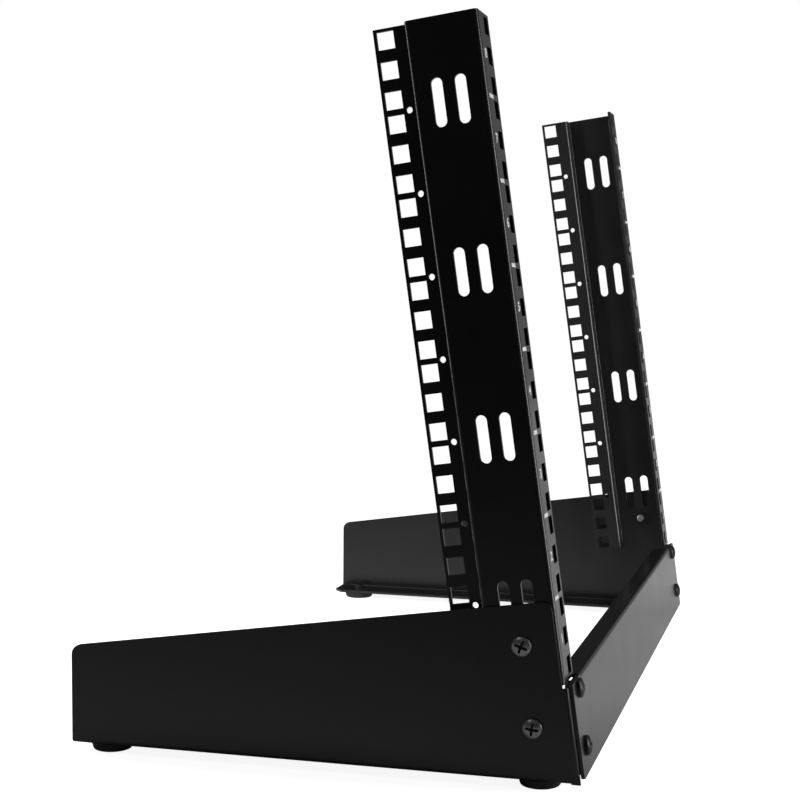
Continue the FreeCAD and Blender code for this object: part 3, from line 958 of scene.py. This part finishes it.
@dataclass
class Fasteners:
    """The frame's screws, and the screws and nuts of the feet.

    Args:
        plane: The plane of the posts' front faces.
        post_column: How far behind that plane the posts' screws stand.
        post_roll: How far their crosses are turned, on average.
        post_roll_step: How far each of a pair is turned from that.
        bar_front: How far behind that plane the crossbar's screws seat, below zero in front of it.
        bar_first: How far above the lowest unit line its upper screws stand, below zero under it.
        bar_pitch: How far its lower screws stand below the upper ones.
        bar_roll: How far the crosses of its upper screws are turned, and the lower ones back.
    """

    plane: LeaningPlane
    post_column: float = 0.020
    post_roll: float = -22.0
    post_roll_step: float = 6.0
    bar_front: float = -0.0038
    bar_first: float = -0.0067
    bar_pitch: float = 0.0318
    bar_roll: float = 35.0

    def build(self) -> None:
        """Makes the frame's screws and dresses the feet's own fasteners."""
        for side in Side:
            for level in Level:
                PanScrew(f"{side.label}_post_screw_{level.label}", self.post_place(side, level),
                         GREY_STEEL).build()
                PanScrew(f"{side.label}_bar_screw_{level.label}", self.bar_place(side, level),
                         BLACK_STEEL).build()
            for end in End:
                for kind in ("screw", "nut"):
                    node = f"{side.label}_{end.value}_foot_{kind}"
                    BLACK_STEEL.coat(frame["nodes"][node])
                    log.info("%s: coated", node)

    def post_place(self, side: Side, level: Level) -> Matrix:
        """Finds the seat of a screw that holds a post to its side plate.

        Args:
            side: Which post.
            level: Which screw of its pair. They stand half a unit above and below the lowest
                unit line.

        Returns:
            The seat's frame, whose Z points out of the rack's side.
        """
        plate_low, plate_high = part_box(f"{side.label}_side_plate")
        x = plate_low.x if side is Side.LEFT else plate_high.x
        spot = self.plane.point(x, self.post_column, level.value * UNIT_HEIGHT / 2)
        roll = self.post_roll - self.post_roll_step * level.value
        return aimed(spot, Vector((side.value, 0, 0)), self.plane.up, roll)

    def bar_place(self, side: Side, level: Level) -> Matrix:
        """Finds the seat of a screw at an end of the crossbar.

        Args:
            side: Which end.
            level: Which screw of its pair.

        Returns:
            The seat's frame, whose Z points to the front.
        """
        low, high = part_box(f"{side.label}_bar_screw_{level.label}")
        above = self.bar_first - (self.bar_pitch if level is Level.LOWER else 0)
        spot = self.plane.point((low.x + high.x) / 2, self.bar_front, above)
        return aimed(spot, -self.plane.back, self.plane.up, self.bar_roll * level.value)


@dataclass(frozen=True)
class SoftBox:
    """A rectangular lamp with a soft front.

    Args:
        name: The lamp's name.
        place: Where it hangs.
        aim: The point that it faces.
        size: Its two sides.
        watts: Its power.
        spread: The angle that its light fans out to.
    """

    name: str
    place: Place
    aim: Place
    size: Pair
    watts: float
    spread: float = 180.0

    def hang(self) -> None:
        """Makes the lamp, turned to its aim and left out of the camera's sight."""
        data = bpy.data.lights.new(self.name, "AREA")
        data.shape = "RECTANGLE"
        data.size, data.size_y = self.size
        data.energy = self.watts
        data.spread = math.radians(self.spread)
        lamp = bpy.data.objects.new(self.name, data)
        towards = Vector(self.aim) - Vector(self.place)
        turn = towards.to_track_quat("-Z", "Y").to_matrix().to_4x4()
        lamp.matrix_world = Matrix.Translation(self.place) @ turn
        lamp.visible_camera = False
        bpy.context.scene.collection.objects.link(lamp)


SOFT_BOXES = (
    SoftBox("top_softbox", place=(0.02, 0.22, 0.75), aim=(0.02, 0.22, 0), size=(0.4, 0.8), watts=1.15),
    SoftBox("front_strip", place=(-0.11, -0.6, 0.30), aim=(0.2, 0.05, 0.22), size=(0.26, 0.56),
            watts=2.2, spread=120),
    SoftBox("front_softbox", place=(0.05, -0.8, 0.95), aim=(0.15, 0, 0.1), size=(0.5, 0.4), watts=0.4),
    SoftBox("back_strip", place=(-0.2, 0.65, 0.45), aim=(0.25, 0.05, 0.32), size=(0.1, 0.5),
            watts=0.7, spread=60),
    SoftBox("back_softbox", place=(-0.05, 0.8, 0.45), aim=(0.1, 0, 0.2), size=(0.25, 0.8), watts=2.4),
    SoftBox("side_softbox", place=(2.4, -0.75, 0.55), aim=(0, -0.1, 0.2), size=(0.8, 1.1), watts=0.6),
    SoftBox("high_softbox", place=(-0.9, 0.6, 1.3), aim=(0, 0, 0.2), size=(0.6, 0.6), watts=1.55),
)


@dataclass
class Studio:
    """The pale floor, the soft light and the camera at the photograph's angle.

    Args:
        camera_place: Where the camera stands.
        yaw: Its turn from the X axis towards the Y axis.
        pitch: Its tilt above the level.
        roll: Its turn about its own line of sight.
        focal_pixels: Its focal length, in pixels of the photograph.
        picture_width: The photograph's width, in pixels.
        picture_middle: The pixel that its line of sight meets, counted from the top left.
        sensor: Its sensor's width, in millimetres.
        near_clip: The nearest distance that it sees.
        floor_size: The side of the floor.
        floor_colour: The floor's grey.
        floor_roughness: The floor's roughness.
        floor_turn: How much Y counts beside X in the line that the floor's gloss changes along.
        white_edge: Distances from the rack's middle between which the floor's white changes.
        floor_white: The floor's glow towards the camera, inside the first and past the second.
        gloss_edge: Places along the line of floor_turn between which its mirrored glow changes.
        floor_gloss: The floor's glow towards mirrored rays, before the first and past the second.
        room_gloss: The room's glow towards mirrored rays.
        room_light: The room's least glow, which reaches every ray.
        lamps: The lamps that light the rack.
    """

    camera_place: Place = (-1.0639, -0.2730, 0.2649)
    yaw: float = 13.584
    pitch: float = -5.174
    roll: float = 0.70
    focal_pixels: float = 1585.4
    picture_width: float = 800.0
    picture_middle: Pair = (460.0, 435.0)
    sensor: float = 36.0
    near_clip: float = 0.01
    floor_size: float = 30.0
    floor_colour: float = 0.8
    floor_roughness: float = 0.9
    floor_turn: float = 0.6
    white_edge: Pair = (0.35, 0.9)
    floor_white: Pair = (0.91, 1.0)
    gloss_edge: Pair = (0.0, 0.4)
    floor_gloss: Pair = (0.0, 0.36)
    room_gloss: float = 0.03
    room_light: float = 0.026
    lamps: tuple[SoftBox, ...] = SOFT_BOXES

    def build(self) -> None:
        """Sets up everything that isn't the rack."""
        self.add_camera()
        self.add_floor()
        self.add_world()
        for lamp in self.lamps:
            lamp.hang()

    def add_camera(self) -> None:
        """Sets the camera where the photograph was taken from."""
        yaw, pitch, roll = (math.radians(angle) for angle in (self.yaw, self.pitch, self.roll))
        forward = Vector((math.cos(pitch) * math.cos(yaw), math.cos(pitch) * math.sin(yaw),
                          math.sin(pitch)))
        level_right = forward.cross(Vector((0, 0, 1))).normalized()
        level_up = level_right.cross(forward)
        right = level_right * math.cos(roll) + level_up * math.sin(roll)
        up = level_up * math.cos(roll) - level_right * math.sin(roll)
        matrix = Matrix((right, up, -forward)).transposed().to_4x4()
        matrix.translation = Vector(self.camera_place)
        data = bpy.data.cameras.new("camera")
        data.sensor_width = self.sensor
        data.lens = self.focal_pixels * self.sensor / self.picture_width
        middle = self.picture_width / 2
        data.shift_x = (middle - self.picture_middle[0]) / self.picture_width
        data.shift_y = (self.picture_middle[1] - middle) / self.picture_width
        data.clip_start = self.near_clip
        camera = bpy.data.objects.new("camera", data)
        camera.matrix_world = matrix
        bpy.context.scene.collection.objects.link(camera)
        bpy.context.scene.camera = camera

    def add_floor(self) -> None:
        """Lays a white floor that keeps the rack's soft shadow."""
        half = self.floor_size / 2
        mesh = bpy.data.meshes.new("white_floor")
        mesh.from_pydata([(-half, -half, 0), (half, -half, 0), (half, half, 0), (-half, half, 0)],
                         [], [(0, 1, 2, 3)])
        floor = bpy.data.objects.new("white_floor", mesh)
        bpy.context.scene.collection.objects.link(floor)
        graph = NodeGraph("white_floor")
        mesh.materials.append(graph.material)
        set_inputs(graph.shader, {"Base Color": (*[self.floor_colour] * 3, 1),
                                  "Roughness": self.floor_roughness,
                                  "Specular IOR Level": 0,
                                  "Emission Color": WHITE})
        reach = graph.add("ShaderNodeVectorMath")
        reach.operation = "LENGTH"
        graph.link(graph.place, reach, 0)
        white = mapped(graph.tree, reach.outputs["Value"], self.white_edge, self.floor_white)
        split = graph.add("ShaderNodeSeparateXYZ")
        graph.link(graph.place, split, 0)
        across = combined(graph.tree, "MULTIPLY", split.outputs["Y"], self.floor_turn)
        along = combined(graph.tree, "ADD", split.outputs["X"], across)
        gloss = mapped(graph.tree, along, self.gloss_edge, self.floor_gloss)
        graph.link(backdrop_glow(graph.tree, white, gloss), graph.shader, "Emission Strength")

    def add_world(self) -> None:
        """Surrounds the rack with a white background in a dim room."""
        world = bpy.data.worlds.new("studio")
        bpy.context.scene.world = world
        world.use_nodes = True
        tree = world.node_tree
        sky = tree.nodes["Background"]
        set_inputs(sky, {"Color": WHITE})
        glow = backdrop_glow(tree, 1.0, self.room_gloss)
        tree.links.new(combined(tree, "MAXIMUM", glow, self.room_light), sky.inputs["Strength"])


def main() -> None:
    """Builds the looks in order and reports each piece."""
    logging.basicConfig(level=logging.INFO, format="%(name)s %(message)s")
    bpy.context.scene.view_settings.view_transform = "Standard"
    plane = LeaningPlane.from_record(FACE_MOUNT, FACE_MOUNT_UNITS)
    SheetSteelFrame().dress()
    for side in Side:
        UnitScale(plane, side).build()
        for end in End:
            RubberFoot(f"{side.label}_{end.value}_foot").build()
    Fasteners(plane).build()
    Studio().build()


if __name__ == "__main__":
    main()
